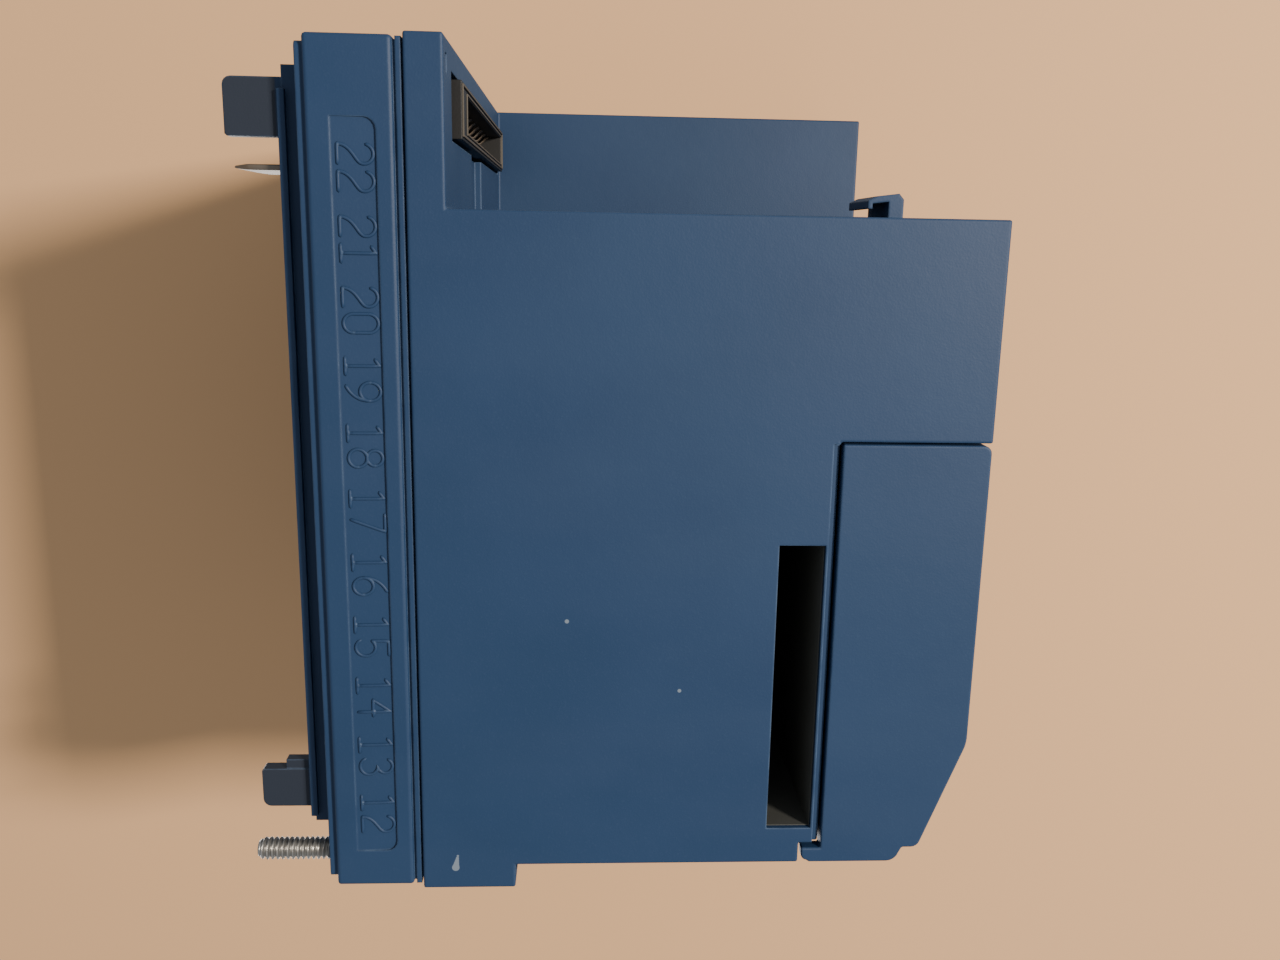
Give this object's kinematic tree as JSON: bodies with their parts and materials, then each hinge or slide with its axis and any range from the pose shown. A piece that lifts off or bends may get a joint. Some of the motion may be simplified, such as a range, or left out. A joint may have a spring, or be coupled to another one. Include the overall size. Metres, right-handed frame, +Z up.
{
  "type": "burner control module",
  "caption": "Plug-in burner safety control: blue moulded box with knife blades and corner guides at the back, open amplifier bay and hinged display module.",
  "frame": {"origin": "middle of the rear mounting face, midway across the width and midway up the rear flange", "axes": "+Z up as mounted on a wall, +Y out of the back towards the subbase, so the display faces -Y; +X is the side with numbers 12 to 22"},
  "size_m": [0.127, 0.1117, 0.1254],
  "materials": {
    "blue_moulding": "finely textured moulded blue plastic",
    "dark_blue_moulding": "moulded dark blue plastic",
    "black_plastic": "moulded black plastic",
    "grey_plastic": "moulded grey plastic",
    "key_rubber": "silicone rubber",
    "label_film": "printed polyester film",
    "board_laminate": "glass epoxy laminate with green mask",
    "tinned_brass": "dull tinned brass strip",
    "zinc_plated_steel": "zinc-plated steel",
    "transformer_iron": "varnished iron laminations",
    "winding_tape": "polyester tape over the winding",
    "relay_case": "moulded relay cover",
    "capacitor_sleeve": "shrunk vinyl sleeve",
    "clear_window": "clear acrylic",
    "fuse_glass": "clear glass tube",
    "lcd_glass": "reflective liquid crystal panel",
    "led_green": "tinted epoxy",
    "led_amber": "tinted epoxy",
    "led_red": "tinted epoxy",
    "chip_epoxy": "moulded black epoxy"
  },
  "bodies": {
    "control_body": {"rear_base": "blue_moulding", "housing": "blue_moulding", "knife_blade_02": "tinned_brass", "knife_blade_03": "tinned_brass", "knife_blade_04": "tinned_brass", "knife_blade_05": "tinned_brass", "knife_blade_06": "tinned_brass", "knife_blade_07": "tinned_brass", "knife_blade_08": "tinned_brass", "knife_blade_09": "tinned_brass", "knife_blade_10": "tinned_brass", "knife_blade_11": "tinned_brass", "knife_blade_22": "tinned_brass", "captive_washer_upper_right": "zinc_plated_steel", "captive_washer_lower_left": "zinc_plated_steel", "case_screw_upper_left": "zinc_plated_steel", "case_screw_upper_right": "zinc_plated_steel", "case_screw_lower_left": "zinc_plated_steel", "case_screw_lower_right": "zinc_plated_steel", "relay_board": "board_laminate", "alarm_relay": "relay_case", "blower_relay": "relay_case", "ignition_relay": "relay_case", "pilot_valve_relay": "relay_case", "main_valve_relay": "relay_case", "transformer_core": "transformer_iron", "transformer_coil": "winding_tape", "smoothing_capacitor": "capacitor_sleeve", "suppression_capacitor": "winding_tape", "fuse_holder": "black_plastic", "fuse": "fuse_glass", "logic_board": "board_laminate", "processor": "chip_epoxy", "riser_board": "board_laminate", "status_board": "board_laminate", "led_power": "led_green", "led_pilot": "led_amber", "led_flame": "led_amber", "led_main": "led_amber", "led_alarm": "led_red", "reset_switch": "black_plastic", "reset_spring": "zinc_plated_steel", "status_label": "label_film", "amplifier_connector": "black_plastic", "option_card_connector": "black_plastic", "display_socket": "black_plastic"},
    "display_module": {"display_case": "blue_moulding", "display_window": "clear_window", "lcd_panel": "lcd_glass", "display_board": "board_laminate", "keypad_mat": "grey_plastic", "display_back": "dark_blue_moulding", "display_plug": "black_plastic"},
    "reset_button": {"reset_button": "grey_plastic"},
    "captive_screw_upper_right": {"captive_screw_upper_right": "zinc_plated_steel"},
    "captive_screw_lower_left": {"captive_screw_lower_left": "zinc_plated_steel"},
    "display_key_1": {"display_key_1": "key_rubber"},
    "display_key_2": {"display_key_2": "key_rubber"},
    "display_key_3": {"display_key_3": "key_rubber"},
    "display_key_4": {"display_key_4": "key_rubber"}
  },
  "joints": [
    {"name": "display_swing", "type": "hinge", "parent": "control_body", "child": "display_module", "pos_m": [0, -0.0779, 0.05755], "axis": [-1, 0, 0], "range_deg": [0, 25]},
    {"name": "reset_press", "type": "slide", "parent": "control_body", "child": "reset_button", "axis": [0, 1, 0], "range_m": [0, 0.0025], "stiffness_N_per_m": 600, "deforming": ["reset_spring"]},
    {"name": "upper_right_screw_turn", "type": "hinge", "parent": "control_body", "child": "captive_screw_upper_right", "pos_m": [0.0585, 0, 0.0585], "axis": [0, 1, 0], "continuous": true},
    {"name": "lower_left_screw_turn", "type": "hinge", "parent": "control_body", "child": "captive_screw_lower_left", "pos_m": [-0.0585, 0, -0.0585], "axis": [0, 1, 0], "continuous": true},
    {"name": "key_1_press", "type": "slide", "parent": "display_module", "child": "display_key_1", "axis": [0, 1, 0], "range_m": [0, 0.0008], "stiffness_N_per_m": 800},
    {"name": "key_2_press", "type": "slide", "parent": "display_module", "child": "display_key_2", "axis": [0, 1, 0], "range_m": [0, 0.0008], "stiffness_N_per_m": 800},
    {"name": "key_3_press", "type": "slide", "parent": "display_module", "child": "display_key_3", "axis": [0, 1, 0], "range_m": [0, 0.0008], "stiffness_N_per_m": 800},
    {"name": "key_4_press", "type": "slide", "parent": "display_module", "child": "display_key_4", "axis": [0, 1, 0], "range_m": [0, 0.0008], "stiffness_N_per_m": 800}
  ]
}
